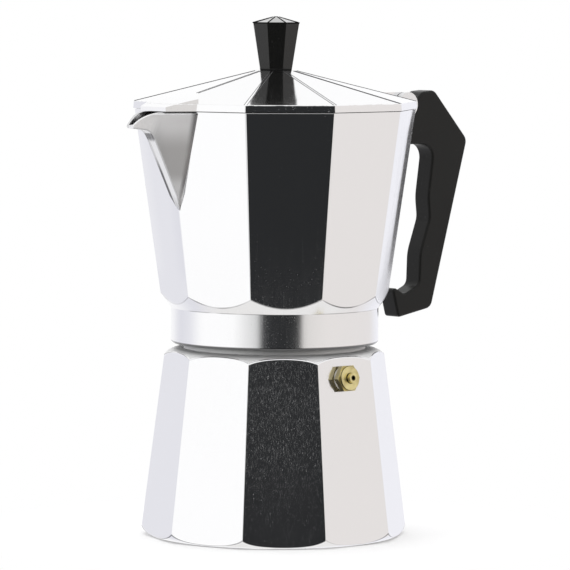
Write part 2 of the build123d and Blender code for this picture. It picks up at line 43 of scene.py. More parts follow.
# short ways to lay nodes in a tree
def put(tree, kind, **settings):
    node = tree.nodes.new(kind)
    for name, value in settings.items():
        setattr(node, name, value)
    return node


def feed(tree, socket, value):
    # a socket is linked, anything else is set as the plain value
    if isinstance(value, bpy.types.NodeSocket):
        tree.links.new(value, socket)
    elif value is not None:
        socket.default_value = value


def lay(tree, kind, inputs, **settings):
    node = put(tree, kind, **settings)
    for name, value in inputs.items():
        feed(tree, node.inputs[name], value)
    return node.outputs


def calc(tree, operation, *values):
    node = put(tree, "ShaderNodeMath", operation=operation)
    for socket, value in zip(node.inputs, values):
        feed(tree, socket, value)
    return node.outputs[0]


def times(tree, first, *others):
    for other in others:
        first = calc(tree, "MULTIPLY", first, other)
    return first


def most(tree, first, *others):
    for other in others:
        first = calc(tree, "MAXIMUM", first, other)
    return first


def minus(tree, first, second):
    return calc(tree, "SUBTRACT", first, second)


def scaled(tree, value, factor, base):
    return calc(tree, "MULTIPLY_ADD", value, factor, base)


def clamped(tree, value, top):
    return calc(tree, "MINIMUM", most(tree, value, 0.0), top)


def ramp(tree, value, low, high, lowTo=0.0, highTo=1.0):
    # smooth step from one level to another
    given = {"Value": value, "From Min": low, "From Max": high, "To Min": lowTo, "To Max": highTo}
    return lay(tree, "ShaderNodeMapRange", given, interpolation_type="SMOOTHSTEP")["Result"]


def fade(tree, value, low, high):
    return ramp(tree, value, low, high, 1.0, 0.0)


# the mix node holds its numbers and its colours in sockets of their own, named alike, so these go by place
def mixValue(tree, share, first, second):
    return lay(tree, "ShaderNodeMix", {0: share, 2: first, 3: second}, data_type="FLOAT")[0]


def blendColour(tree, share, first, second):
    return lay(tree, "ShaderNodeMix", {0: share, 6: first, 7: second}, data_type="RGBA")[2]


def noise(tree, vector, scale, detail=2.0, roughness=0.5):
    given = {"Vector": vector, "Scale": scale, "Detail": detail, "Roughness": roughness}
    return lay(tree, "ShaderNodeTexNoise", given)[0]


def vectorOf(tree, x, y, z):
    return lay(tree, "ShaderNodeCombineXYZ", {"X": x, "Y": y, "Z": z})[0]


def partsOf(tree, vector):
    return lay(tree, "ShaderNodeSeparateXYZ", {"Vector": vector})


def objectPlace(tree):
    return put(tree, "ShaderNodeTexCoord").outputs["Object"]


def lengthOf(tree, x, y):
    return calc(tree, "SQRT", calc(tree, "ADD", times(tree, x, x), times(tree, y, y)))


def bumpOf(tree, height, strength, distance, over=None):
    given = {"Strength": strength, "Distance": distance, "Height": height, "Normal": over}
    return lay(tree, "ShaderNodeBump", given)[0]


def rollOff(tree, inset, width, tilt, over=0.0):
    # height, in metres, of an edge worn round: it tilts more and more across its width
    return scaled(tree, times(tree, inset, inset), -tilt / (2 * width), over)


def newGroup(name, inputs, outputs):
    group = bpy.data.node_groups.new(name, "ShaderNodeTree")
    for label, value in inputs.items():
        socket = group.interface.new_socket(label, in_out="INPUT", socket_type="NodeSocketFloat")
        socket.default_value = value
    for label in outputs:
        group.interface.new_socket(label, in_out="OUTPUT", socket_type="NodeSocketFloat")
    return group, put(group, "NodeGroupInput").outputs, put(group, "NodeGroupOutput").inputs


def useGroup(tree, group, **values):
    return lay(tree, "ShaderNodeGroup", values, node_tree=group)


def newMaterial(name, **values):
    material = bpy.data.materials.new(name)
    material.use_nodes = True
    tree = material.node_tree
    shader = tree.nodes["Principled BSDF"]
    for label, value in values.items():
        feed(tree, shader.inputs[label.replace("_", " ")], value)
    return material, tree, shader.inputs


def dress(material, *names):
    for name in names:
        slots = cadNodes[name].data.materials
        slots.clear()
        slots.append(material)


# where a point lies on a many-sided wall: depth under the outer face, place across the face,
# distance to the nearest ridge between two faces, and which way the surface looks
def makeFacetField():
    group, given, result = newGroup(
        "facet field", {"Sides": 10.0, "Corner": 0.05, "Lean": 0.0, "Base": 0.0, "Turn": 0.0},
        ("Depth", "Across", "Face", "Radius", "Height", "Reach", "Sway", "Ridge", "Outward", "Upward", "Aside"))
    x, y, z = partsOf(group, objectPlace(group))
    step = calc(group, "DIVIDE", math.tau, given["Sides"])
    half = times(group, step, 0.5)
    radius = lengthOf(group, x, y)
    angle = minus(group, calc(group, "ARCTAN2", y, x), given["Turn"])
    local = minus(group, calc(group, "FLOORED_MODULO", angle, step), half)
    corner = scaled(group, minus(group, z, given["Base"]), given["Lean"], given["Corner"])
    apothem = times(group, corner, calc(group, "COSINE", half))
    swing = minus(group, half, calc(group, "ABSOLUTE", local))
    facing = partsOf(group, put(group, "ShaderNodeTexCoord").outputs["Normal"])
    swept = calc(group, "ADD", times(group, facing[0], x), times(group, facing[1], y))
    found = {"Depth": minus(group, apothem, times(group, radius, calc(group, "COSINE", local))),
             "Across": times(group, radius, calc(group, "SINE", local)),
             "Face": calc(group, "FLOOR", calc(group, "DIVIDE", angle, step)),
             "Radius": radius, "Height": z, "Reach": x, "Sway": y,
             "Ridge": times(group, radius, calc(group, "SINE", swing)),
             # the small length keeps the axis itself from dividing by nothing
             "Outward": calc(group, "DIVIDE", swept, calc(group, "ADD", radius, 0.01 * mm)),
             "Upward": facing[2], "Aside": times(group, facing[1], calc(group, "SIGN", y))}
    for label, value in found.items():
        feed(group, result[label], value)
    return group


# thin dark line where a flat side runs out into a turned foot, shoulder or belly
def makeOutline():
    group, given, result = newGroup("turned outline", {"Gap": 1.0, "Depth": 0.0, "Width": 0.3 * mm}, ("Line",))
    near = fade(group, calc(group, "ABSOLUTE", given["Gap"]), 0.0, given["Width"])
    shallow = fade(group, calc(group, "ABSOLUTE", given["Depth"]), 0.0, given["Width"])
    feed(group, result["Line"], times(group, near, shallow))
    return group


# hair-fine lines left by the polishing wheel, drawn along one direction, with short strokes and scuffs between them
polishMarks = {"hairs": {"detail": 3.0, "roughness": 0.6}, "strokes": (0.38, 0.72), "scuffs": (0.70, 0.78)}


def makePolishLines():
    group, given, result = newGroup(
        "polish lines", {"Across": 0.0, "Along": 0.0, "Face": 0.0, "Fineness": 5200.0, "Length": 45.0,
                         "Mark Fineness": 2600.0, "Mark Length": 620.0, "Face Step": 7.3},
        ("Lines", "Strokes", "Scuffs"))
    apart = times(group, given["Face"], given["Face Step"])  # no two faces carry the same lines
    fine = times(group, given["Across"], given["Fineness"])
    slow = times(group, given["Along"], given["Length"])
    feed(group, result["Lines"], noise(group, vectorOf(group, fine, slow, apart), 1.0, **polishMarks["hairs"]))
    wide = times(group, given["Across"], given["Mark Fineness"])
    short = times(group, given["Along"], given["Mark Length"])
    marks = noise(group, vectorOf(group, wide, short, apart), 1.0)
    feed(group, result["Scuffs"], ramp(group, marks, *polishMarks["scuffs"]))
    feed(group, result["Strokes"], ramp(group, marks, *polishMarks["strokes"]))
    return group


# fine rings left by the lathe
def makeRings():
    group, given, result = newGroup("turning rings", {"Radius": 0.0, "Height": 0.0, "Fineness": 5200.0}, ("Rings",))
    outward = times(group, given["Radius"], given["Fineness"])
    upward = times(group, given["Height"], given["Fineness"])
    feed(group, result["Rings"], noise(group, vectorOf(group, outward, upward, 0.0), 1.0, **polishMarks["hairs"]))
    return group


# soft unevenness of cast or moulded surfaces, with a fine grain and a few specks over it
skinMarks = {"grain": {"detail": 2.0, "roughness": 0.6}, "fleck": {"detail": 1.0, "roughness": 0.4},
             "specks": (0.70, 0.78)}


def makeSkin():
    group, given, result = newGroup("moulded skin", {"Swell": 60.0, "Grain": 2500.0, "Fleck": 900.0},
                                    ("Swell", "Grain", "Specks"))
    where = objectPlace(group)
    feed(group, result["Swell"], noise(group, where, given["Swell"]))
    feed(group, result["Grain"], noise(group, where, given["Grain"], **skinMarks["grain"]))
    flecks = noise(group, where, given["Fleck"], **skinMarks["fleck"])
    feed(group, result["Specks"], ramp(group, flecks, *skinMarks["specks"]))
    return group


facetField = makeFacetField()
turnedOutline = makeOutline()
polishLines = makePolishLines()
turningRings = makeRings()
mouldedSkin = makeSkin()

# polished cast aluminium of the boiler, the collector and the lid.
# Here and below, a pair says where a change starts and ends, and two more numbers are its levels there.
aluminium = {"colour": (0.905, 0.905, 0.912, 1), "hazed": (0.80, 0.80, 0.81, 1), "hazedShare": 0.14,
             "castColour": (0.74, 0.74, 0.745, 1), "castRough": 0.36, "castGrain": 0.12,
             "lineAndShadeTone": (0.07, 0.07, 0.075, 1), "creviceShadeShare": 0.85, "lineShare": 0.92,
             "lineWidth": 0.27 * mm, "lineBreaks": (0.42, 0.60, 0.2, 1.0),
             "seamWidth": 0.3 * mm, "seamShare": 0.6, "seamBreaks": (0.40, 0.55),
             "swell": 45.0, "grain": 1800.0, "fleck": 2300.0, "inwards": (-0.3, -0.1), "roomEdge": 0.2 * mm,
             "streaks": (0.50, 0.74), "blotches": (0.35, 0.65), "strokesLeft": 0.7,
             "lineDepth": 0.02 * mm, "lineStrength": 0.06, "edgeSoft": 0.6 * mm, "edgeTilt": 0.5}
boilerFinish = {"corner": 54.85 * mm, "lean": (44.96 - 54.85) / 76.6, "base": 0.0, "turn": math.radians(-1.35),
                "roomRadius": 36.9 * mm, "roomFloor": 1.5 * mm, "seam": 0.0,
                "polish": 0.055, "blotch": 0.02, "brush": 0.07, "strokes": 110.0,
                "haze": 0.022, "hazeRise": (4.0 * mm, 46.0 * mm),
                "stroked": 0.128, "scuffed": 0.03, "flecked": 0.12,
                "footEdge": 54.6 * mm, "footRound": 5.0 * mm,
                "shoulderEdge": 47.58 * mm, "shoulderRound": 8.7 * mm, "shoulderLevel": 67.9 * mm,
                "collarShadeTone": (0.20, 0.20, 0.20, 1), "collarShadeShare": 0.9, "collarShadeLow": (76.6 * mm, 79.1 * mm),
                "collarShadeHigh": (80.5 * mm, 82.0 * mm), "collarShadeRadius": (38.8 * mm, 42.8 * mm)}
collectorFinish = {"corner": 46.13 * mm, "lean": (57.77 - 46.13) / 81.0, "base": 93.3 * mm, "turn": 0.0,
                   "roomRadius": 38.2 * mm, "roomFloor": 79.5 * mm, "seam": 93.3 * mm,
                   "polish": 0.05, "blotch": 0.0, "brush": 0.10, "strokes": 45.0,
                   "haze": 0.11, "hazeRise": (140.0 * mm, 97.0 * mm),
                   "stroked": 0.0, "scuffed": 0.10, "flecked": 0.15,
                   "bellyFoot": 42.5 * mm, "bellyEdge": 47.25 * mm, "bellyDrop": 6.4 * mm,
                   "collarShadeTone": (0.12, 0.12, 0.12, 1), "collarShadeShare": 0.92, "collarShadeLow": (76.0 * mm, 78.5 * mm),
                   "collarShadeHigh": (79.6 * mm, 80.1 * mm), "collarShadeRadius": (43.0 * mm, 47.0 * mm)}


def boilerTurning(tree, height):
    # radius of the turned foot, side and shoulder at a height
    plan = boilerFinish
    fall = (plan["shoulderEdge"] - plan["footEdge"]) / (plan["shoulderLevel"] - plan["footRound"])
    level = calc(tree, "MINIMUM", most(tree, height, plan["footRound"]), plan["shoulderLevel"])
    radius = scaled(tree, minus(tree, level, plan["footRound"]), fall, plan["footEdge"])
    for past, bend in ((minus(tree, plan["footRound"], height), plan["footRound"]),
                       (minus(tree, height, plan["shoulderLevel"]), plan["shoulderRound"])):
        past = clamped(tree, past, bend)
        drop = calc(tree, "SQRT", minus(tree, bend * bend, times(tree, past, past)))
        radius = minus(tree, radius, minus(tree, bend, drop))
    return radius


def collectorTurning(tree, height):
    # radius of the belly's cone at a height
    plan = collectorFinish
    spread = (plan["bellyEdge"] - plan["bellyFoot"]) / plan["bellyDrop"]
    return scaled(tree, minus(tree, height, plan["base"]), spread, plan["bellyFoot"])


# the boiler's turned shoulder is dull, and its colour is a little darker as painted shade from the collar above
shoulder = {"tone": (0.87, 0.87, 0.87, 1), "rough": 0.55, "grain": 0.2,
            "depth": (0.1 * mm, 0.5 * mm), "above": (66.0 * mm, 67.0 * mm)}
# the spout, the ears and the lug stand proud of the collector's sides and are only satin, save the pouring trough.
# Painted shade lies as dark lines where the spout meets the wall and along both edges of its keel, and on the middle
# of its side walls.
spout = {"satin": 0.53, "satinLines": 0.10, "above": (100.0 * mm, 102.0 * mm), "proud": (-0.8 * mm, -0.3 * mm),
         "troughSide": (-0.35, -0.15), "troughReach": (-59.0 * mm, -58.0 * mm), "reach": (-40.0 * mm, -35.0 * mm),
         "creviceIn": (-2.6 * mm, -0.2 * mm), "creviceOut": (-0.1 * mm, -0.04 * mm),
         "creviceRise": (138.0 * mm, 147.0 * mm, 0.35, 1.0),
         "keelEdge": 0.4, "keelSide": (0.06, 0.22), "keelFlank": (0.62, 0.85),
         "farSway": (0.5 * mm, 1.3 * mm), "farRise": (149.0 * mm, 158.0 * mm, 1.0, 0.25),
         "keelFoot": (162.0 * mm, 164.0 * mm), "keelTop": (165.6 * mm, 166.2 * mm), "keelFace": (0.3, 0.5),
         "keelShadeBreaks": (0.3, 0.6, 0.5, 1.0),
         "wallShadeTone": (0.45, 0.44, 0.43, 1), "wallShadeShare": 0.55, "wallSide": (0.6, 0.8),
         "wallFoot": (144.0 * mm, 150.0 * mm), "wallTop": (159.0 * mm, 169.0 * mm)}
# the collector's ridges and rim are soft, and hands have rubbed the ridges beside the handle
wear = {"ridgeSoft": 10.0 * mm, "ridgeTilt": 0.05, "ridgeRise": (100.0 * mm, 112.0 * mm), "rim": 174.3 * mm,
        "rimSoft": 0.3 * mm, "rimTilt": 0.6, "rubbed": 0.15, "rubbedReach": (20.0 * mm, 32.0 * mm),
        "rubbedWidth": 16.0 * mm, "rubbedTilt": 1.6}


def spoutMarks(tree, field, lines):
    # where the skin is satin, where painted shade darkens it in lines, and where painted shade lies on the side walls
    height, depth, aside = field["Height"], field["Depth"], field["Aside"]
    upper = ramp(tree, height, *spout["above"])
    proud = times(tree, upper, fade(tree, depth, *spout["proud"]))
    crevice = times(tree, ramp(tree, depth, *spout["creviceIn"]), fade(tree, depth, *spout["creviceOut"]),
                    ramp(tree, height, *spout["creviceRise"]), upper)
    flank = fade(tree, aside, *spout["keelFlank"])
    nearEdge = times(tree, ramp(tree, aside, *spout["keelSide"]), flank, spout["keelEdge"])
    farEdge = times(tree, ramp(tree, field["Sway"], *spout["farSway"]), ramp(tree, height, *spout["farRise"]), flank)
    keelTop = times(tree, ramp(tree, height, *spout["keelFoot"]), fade(tree, height, *spout["keelTop"]),
                    fade(tree, aside, *spout["keelFace"]), ramp(tree, lines["Lines"], *spout["keelShadeBreaks"]))
    keel = times(tree, most(tree, nearEdge, farEdge, keelTop), proud)
    dark = times(tree, most(tree, crevice, keel), fade(tree, field["Reach"], *spout["reach"]))
    trough = times(tree, fade(tree, aside, *spout["troughSide"]), fade(tree, field["Reach"], *spout["troughReach"]))
    satin = minus(tree, proud, times(tree, proud, trough))
    shade = times(tree, ramp(tree, aside, *spout["wallSide"]), satin, spout["wallShadeShare"],
                  fade(tree, height, *spout["wallTop"]), ramp(tree, height, *spout["wallFoot"]))
    return satin, dark, shade


def softRidges(tree, field, worn):
    rim = clamped(tree, minus(tree, field["Height"], wear["rim"] - wear["rimSoft"]), wear["rimSoft"])
    worn = rollOff(tree, rim, wear["rimSoft"], wear["rimTilt"], worn)
    ridge = times(tree, most(tree, minus(tree, wear["ridgeSoft"], field["Ridge"]), 0.0),
                  ramp(tree, field["Height"], *wear["ridgeRise"]),
                  ramp(tree, field["Reach"], *wear["rubbedReach"], 1.0, wear["rubbedTilt"]))
    return rollOff(tree, ridge, wear["ridgeSoft"], wear["ridgeTilt"], worn)


def polishedCasting(name, finish, turning):
    material, tree, shader = newMaterial(name, Metallic=1.0)
    field = useGroup(tree, facetField, Corner=finish["corner"], Lean=finish["lean"],
                     Base=finish["base"], Turn=finish["turn"])
    lines = useGroup(tree, polishLines, Across=field["Across"], Along=field["Height"], Face=field["Face"],
                     Length=finish["strokes"])
    skin = useGroup(tree, mouldedSkin, Swell=aluminium["swell"], Grain=aluminium["grain"], Fleck=aluminium["fleck"])
    height = field["Height"]
    gap = minus(tree, turning(tree, height), field["Radius"])
    tone = blendColour(tree, times(tree, lines["Lines"], aluminium["hazedShare"]),
                       aluminium["colour"], aluminium["hazed"])
    rough = scaled(tree, ramp(tree, lines["Lines"], *aluminium["streaks"]), finish["brush"], finish["polish"])
    haze = ramp(tree, height, *finish["hazeRise"])
    strokes = times(tree, lines["Strokes"],
                    scaled(tree, haze, 1 - aluminium["strokesLeft"], aluminium["strokesLeft"]))
    for mask, amount in ((ramp(tree, skin["Swell"], *aluminium["blotches"]), "blotch"), (haze, "haze"),
                         (strokes, "stroked"), (lines["Scuffs"], "scuffed"), (skin["Specks"], "flecked")):
        rough = scaled(tree, mask, finish[amount], rough)
    # the polishing wheel leaves the edges of the flat sides soft
    close = clamped(tree, minus(tree, aluminium["edgeSoft"], gap), aluminium["edgeSoft"])
    worn = rollOff(tree, close, aluminium["edgeSoft"], aluminium["edgeTilt"])
    if finish is boilerFinish:  # the turned shoulder, or else the spout and the ridges
        turned = times(tree, ramp(tree, field["Depth"], *shoulder["depth"]), ramp(tree, height, *shoulder["above"]))
        # painted shade from the collar darkens the shoulder's colour
        tone = blendColour(tree, turned, tone, shoulder["tone"])
        rough = mixValue(tree, turned, rough, scaled(tree, skin["Grain"], shoulder["grain"], shoulder["rough"]))
    else:
        satin, dark, shade = spoutMarks(tree, field, lines)
        # painted shade in the crevice round the spout and along the edges of its keel
        tone = blendColour(tree, times(tree, dark, aluminium["creviceShadeShare"]), tone, aluminium["lineAndShadeTone"])
        # painted shade on the middle of the spout's side walls
        tone = blendColour(tree, shade, tone, spout["wallShadeTone"])
        rubbed = times(tree, ramp(tree, height, *spout["above"]), ramp(tree, field["Reach"], *wear["rubbedReach"]),
                       fade(tree, field["Ridge"], 0.0, wear["rubbedWidth"]))
        rough = scaled(tree, rubbed, wear["rubbed"], rough)
        rough = mixValue(tree, satin, rough, scaled(tree, lines["Lines"], spout["satinLines"], spout["satin"]))
        worn = softRidges(tree, field, worn)
    # the room inside keeps its cast skin
    wall, bottom, edge = finish["roomRadius"], finish["roomFloor"], aluminium["roomEdge"]
    middle = times(tree, fade(tree, field["Radius"], wall, wall + edge), ramp(tree, height, bottom, bottom + edge))
    inside = most(tree, fade(tree, field["Outward"], *aluminium["inwards"]), middle)
    tone = blendColour(tree, inside, tone, aluminium["castColour"])
    castRough = scaled(tree, skin["Grain"], aluminium["castGrain"], aluminium["castRough"])
    rough = mixValue(tree, inside, rough, castRough)
    # painted shade on the neck and under the collar: dark grey where the collar shades them
    collarShade = times(tree, ramp(tree, height, *finish["collarShadeLow"]), fade(tree, height, *finish["collarShadeHigh"]),
                  fade(tree, field["Radius"], *finish["collarShadeRadius"]), finish["collarShadeShare"])
    tone = blendColour(tree, collarShade, tone, finish["collarShadeTone"])
    # broken dark lines round the flat sides and at the seam
    line = useGroup(tree, turnedOutline, Gap=gap, Depth=field["Depth"], Width=aluminium["lineWidth"])["Line"]
    line = times(tree, line, ramp(tree, skin["Swell"], *aluminium["lineBreaks"]))
    seam = calc(tree, "ABSOLUTE", minus(tree, height, finish["seam"]))
    seam = times(tree, fade(tree, seam, 0.0, aluminium["seamWidth"]), aluminium["seamShare"],
                 ramp(tree, skin["Swell"], *aluminium["seamBreaks"]))
    line = times(tree, most(tree, line, seam), aluminium["lineShare"])
    feed(tree, shader["Base Color"], blendColour(tree, line, tone, aluminium["lineAndShadeTone"]))
    feed(tree, shader["Roughness"], rough)
    fineBump = mixValue(tree, inside, lines["Lines"], skin["Grain"])
    feed(tree, shader["Normal"], bumpOf(tree, fineBump, aluminium["lineStrength"], aluminium["lineDepth"],
                                        bumpOf(tree, worn, 1.0, 1.0)))
    return material


# the lid's roof is polished like a mirror, and its brim is worn round and ragged
lidFinish = {"skirtTop": 177.55 * mm, "brim": 0.34 * mm, "brimTilt": 0.8, "roofEdge": 0.05 * mm,
             "raggedness": 420.0, "ragged": (0.38, 0.58, 0.3, 1.0), "under": (-0.35, -0.15), "strokes": 120.0,
             "fleck": 2000.0, "hazedShare": 0.12, "rough": 0.09, "scuffed": 0.10,
             "flecked": 0.4, "fleckEdge": 0.2 * mm, "underRough": 0.40, "lineStrength": 0.05}


def polishedLid():
    plan = lidFinish
    material, tree, shader = newMaterial("polished lid aluminium", Metallic=1.0)
    field = useGroup(tree, facetField, Turn=collectorFinish["turn"])
    lines = useGroup(tree, polishLines, Across=field["Across"], Along=field["Radius"], Face=field["Face"],
                     Length=plan["strokes"])
    skin = useGroup(tree, mouldedSkin, Grain=aluminium["grain"], Fleck=plan["fleck"])
    under = fade(tree, field["Upward"], *plan["under"])
    brim = clamped(tree, minus(tree, field["Height"], plan["skirtTop"] - plan["brim"]), plan["brim"])
    roof = ramp(tree, field["Height"], plan["skirtTop"] - plan["roofEdge"], plan["skirtTop"])
    ragged = ramp(tree, noise(tree, objectPlace(tree), plan["raggedness"]), *plan["ragged"])
    worn = times(tree, rollOff(tree, brim, plan["brim"], plan["brimTilt"]), mixValue(tree, roof, ragged, 1.0))
    bright = blendColour(tree, times(tree, lines["Lines"], plan["hazedShare"]),
                         aluminium["colour"], aluminium["hazed"])
    feed(tree, shader["Base Color"], blendColour(tree, under, bright, aluminium["castColour"]))
    rough = scaled(tree, lines["Scuffs"], plan["scuffed"], plan["rough"])
    flecks = ramp(tree, field["Height"], plan["skirtTop"], plan["skirtTop"] + plan["fleckEdge"], plan["flecked"], 0.0)
    rough = scaled(tree, skin["Specks"], flecks, rough)
    grain = scaled(tree, skin["Grain"], aluminium["castGrain"], plan["underRough"])
    feed(tree, shader["Roughness"], mixValue(tree, under, rough, grain))
    fineBump = mixValue(tree, under, lines["Lines"], skin["Grain"])
    feed(tree, shader["Normal"], bumpOf(tree, fineBump, plan["lineStrength"], aluminium["lineDepth"],
                                        bumpOf(tree, worn, 1.0, 1.0)))
    return material


dress(polishedCasting("polished boiler aluminium", boilerFinish, boilerTurning), "boiler")
dress(polishedCasting("polished collector aluminium", collectorFinish, collectorTurning), "collector")
dress(polishedLid(), "lid")
print("aluminium castings finished")

# drawn and turned metal, with fine rings round the pot's axis
turnedFinish = {"swell": 70.0, "dulled": 0.85, "roughSpread": 0.14, "ringStrength": 0.15, "ringDepth": 0.03 * mm}
# the colour, the roughness and the fineness of the rings
turnedMetals = {"spun aluminium": ((0.80, 0.80, 0.81, 1), 0.3, 5200.0),
                "cut thread aluminium": ((0.70, 0.70, 0.71, 1), 0.34, 6000.0),
                "turned steel": ((0.62, 0.62, 0.64, 1), 0.24, 7000.0),
                "shadowed ridge line": ((0.17, 0.17, 0.175, 1), 0.5, 3000.0)}


def turnedMetal(name, colour, rough, ringScale):
    plan = turnedFinish
    material, tree, shader = newMaterial(name, Metallic=1.0)
    x, y, z = partsOf(tree, objectPlace(tree))
    rings = useGroup(tree, turningRings, Radius=lengthOf(tree, x, y), Height=z, Fineness=ringScale)["Rings"]
    skin = useGroup(tree, mouldedSkin, Swell=plan["swell"])
    dull = tuple(part * plan["dulled"] for part in colour[:3]) + (1,)
    feed(tree, shader["Base Color"], blendColour(tree, skin["Swell"], colour, dull))
    feed(tree, shader["Roughness"], scaled(tree, rings, plan["roughSpread"], rough - plan["roughSpread"] / 2))
    feed(tree, shader["Normal"], bumpOf(tree, rings, plan["ringStrength"], plan["ringDepth"]))
    return material


spunAluminium, cutAluminium, turnedSteel, darkLine = [turnedMetal(name, *plan) for name, plan in turnedMetals.items()]
dress(spunAluminium, "funnel", "funnel_plate", "filter_plate", "column", "column_cap")
dress(turnedSteel, "valve_ball", "valve_spring", "handle_pin", "hinge_pin", "knob_screw", "knob_washer")

# brass of the safety valve, turned about the valve's own axis, with painted shade in its vent and in dark lines round
# its nozzle and face
valveBrass = {"colour": (0.80, 0.71, 0.36, 1), "tarnish": (0.60, 0.51, 0.25, 1), "tarnished": (0.35, 0.65),
              "hexTone": (0.24, 0.205, 0.12, 1), "hexHeight": (2.6 * mm, 3.2 * mm, 0.85, 0.0),
              "shadow": (0.045, 0.03, 0.012, 1), "shadowShare": 0.9,
              "foot": Vector((-1.935, -43.905, 67.0)) * mm, "axis": Vector((-0.02338, -0.99227, 0.12188)),
              "face": 4.0 * mm, "faceDepth": (0.25 * mm, 0.6 * mm), "lineCore": 0.1 * mm,
              "lines": ((1.98 * mm, 0.45 * mm), (5.0 * mm, 0.3 * mm)), "vent": (1.05 * mm, 1.15 * mm),
              "rough": 0.34, "roughSpread": 0.16, "swell": 260.0,
              "ringScale": 6500.0, "ringStrength": 0.2, "ringDepth": 0.03 * mm}


def turnedBrass():
    plan = valveBrass
    material, tree, shader = newMaterial("yellow brass", Metallic=1.0)
    tilt = plan["axis"].to_track_quat("Z", "Y").to_euler()
    own = lay(tree, "ShaderNodeMapping", {"Vector": objectPlace(tree), "Location": plan["foot"], "Rotation": tilt},
              vector_type="TEXTURE")
    x, y, z = partsOf(tree, own[0])
    radius = lengthOf(tree, x, y)
    skin = useGroup(tree, mouldedSkin, Swell=plan["swell"])
    rings = useGroup(tree, turningRings, Radius=radius, Height=z, Fineness=plan["ringScale"])["Rings"]
    onFace = fade(tree, calc(tree, "ABSOLUTE", minus(tree, z, plan["face"])), *plan["faceDepth"])
    dark = fade(tree, radius, *plan["vent"])
    for ring, width in plan["lines"]:
        off = calc(tree, "ABSOLUTE", minus(tree, radius, ring))
        dark = most(tree, dark, times(tree, onFace, fade(tree, off, plan["lineCore"], width)))
    tone = blendColour(tree, ramp(tree, skin["Swell"], *plan["tarnished"]), plan["colour"], plan["tarnish"])
    # the hex body below the face is darker
    tone = blendColour(tree, ramp(tree, z, *plan["hexHeight"]), tone, plan["hexTone"])
    tone = blendColour(tree, times(tree, dark, plan["shadowShare"]), tone, plan["shadow"])
    rough = scaled(tree, rings, plan["roughSpread"], plan["rough"] - plan["roughSpread"] / 2)
    feed(tree, shader["Base Color"], tone)
    feed(tree, shader["Roughness"], rough)
    feed(tree, shader["Normal"], bumpOf(tree, rings, plan["ringStrength"], plan["ringDepth"]))
    return material


dress(turnedBrass(), "valve_body", "valve_plug")
print("turned metals finished")

# black mouldings: the handle is satin, the knob is glossier
plasticSkin = {"swell": 55.0, "grain": 3200.0, "grainStrength": 0.12, "roughSpread": 0.12,
               "dust": (0.06, 0.06, 0.06, 1), "dustShare": 0.2, "ior": 1.5, "coatIor": 1.8, "coatRough": 0.05}
handlePlastic = {"colour": (0.0072, 0.0072, 0.0066, 1), "worn": (0.0098, 0.0098, 0.0092, 1), "rough": 0.36,
                 "sheen": 0.19, "grainDepth": 0.05 * mm}
edgeShadow = dict(handlePlastic, sheen=0.02, rough=0.9)
knobPlastic = {"colour": (0.0075, 0.0075, 0.007, 1), "worn": (0.0095, 0.0095, 0.009, 1), "rough": 0.16,
               "sheen": 0.36, "grainDepth": 0.015 * mm, "sides": 8.0, "turn": math.radians(-17.9),
               "rimLine": (209.25 * mm, 209.4 * mm), "top": (209.55 * mm, 209.7 * mm),
               "edge": (0.252 * mm, 0.42 * mm), "buffed": 0.8, "glint": (0.30, 0.30, 0.30, 1),
               "footLine": (190.4 * mm, 191.0 * mm), "shadow": (0.001, 0.001, 0.001, 1), "lineRough": 0.95}


def blackPlastic(name, finish):
    plan = plasticSkin
    material, tree, shader = newMaterial(name, Specular_IOR_Level=finish["sheen"], IOR=plan["ior"],
                                         Coat_IOR=plan["coatIor"], Coat_Roughness=plan["coatRough"])
    skin = useGroup(tree, mouldedSkin, Swell=plan["swell"], Grain=plan["grain"])
    tone = blendColour(tree, skin["Swell"], finish["colour"], finish["worn"])
    tone = blendColour(tree, times(tree, skin["Specks"], plan["dustShare"]), tone, plan["dust"])
    rough = scaled(tree, skin["Grain"], plan["roughSpread"], finish["rough"] - plan["roughSpread"] / 2)
    feed(tree, shader["Base Color"], tone)
    feed(tree, shader["Roughness"], rough)
    feed(tree, shader["Normal"], bumpOf(tree, skin["Grain"], plan["grainStrength"], finish["grainDepth"]))
    return material


def shineTop(material, finish):
    # the pointed top is buffed between its ridges and mirrors the ceiling
    tree = material.node_tree
    shader = tree.nodes["Principled BSDF"].inputs
    field = useGroup(tree, facetField, Sides=finish["sides"], Turn=finish["turn"])
    top = ramp(tree, field["Height"], *finish["rimLine"])
    flat = times(tree, ramp(tree, field["Height"], *finish["top"]), ramp(tree, field["Ridge"], *finish["edge"]))
    feed(tree, shader["Coat Weight"], times(tree, flat, finish["buffed"]))
    feed(tree, shader["Metallic"], flat)
    # painted shade makes the ridges, the rim and the foot near black, and they stay dull
    line = most(tree, minus(tree, top, times(tree, top, flat)), fade(tree, field["Height"], *finish["footLine"]))
    tone = blendColour(tree, line, shader["Base Color"].links[0].from_socket, finish["shadow"])
    feed(tree, shader["Base Color"], blendColour(tree, flat, tone, finish["glint"]))
    rough = mixValue(tree, line, shader["Roughness"].links[0].from_socket, finish["lineRough"])
    feed(tree, shader["Roughness"], rough)
    return material


# soft seals
sealSkin = {"swell": 90.0, "roughSpread": 0.2, "grainStrength": 0.2, "grainDepth": 0.06 * mm}
whiteSilicone = {"colour": (0.84, 0.82, 0.76, 1), "worn": (0.78, 0.76, 0.70, 1), "rough": 0.45, "grain": 1800.0}
paleFibre = {"colour": (0.70, 0.67, 0.60, 1), "worn": (0.60, 0.57, 0.50, 1), "rough": 0.55, "grain": 2600.0}


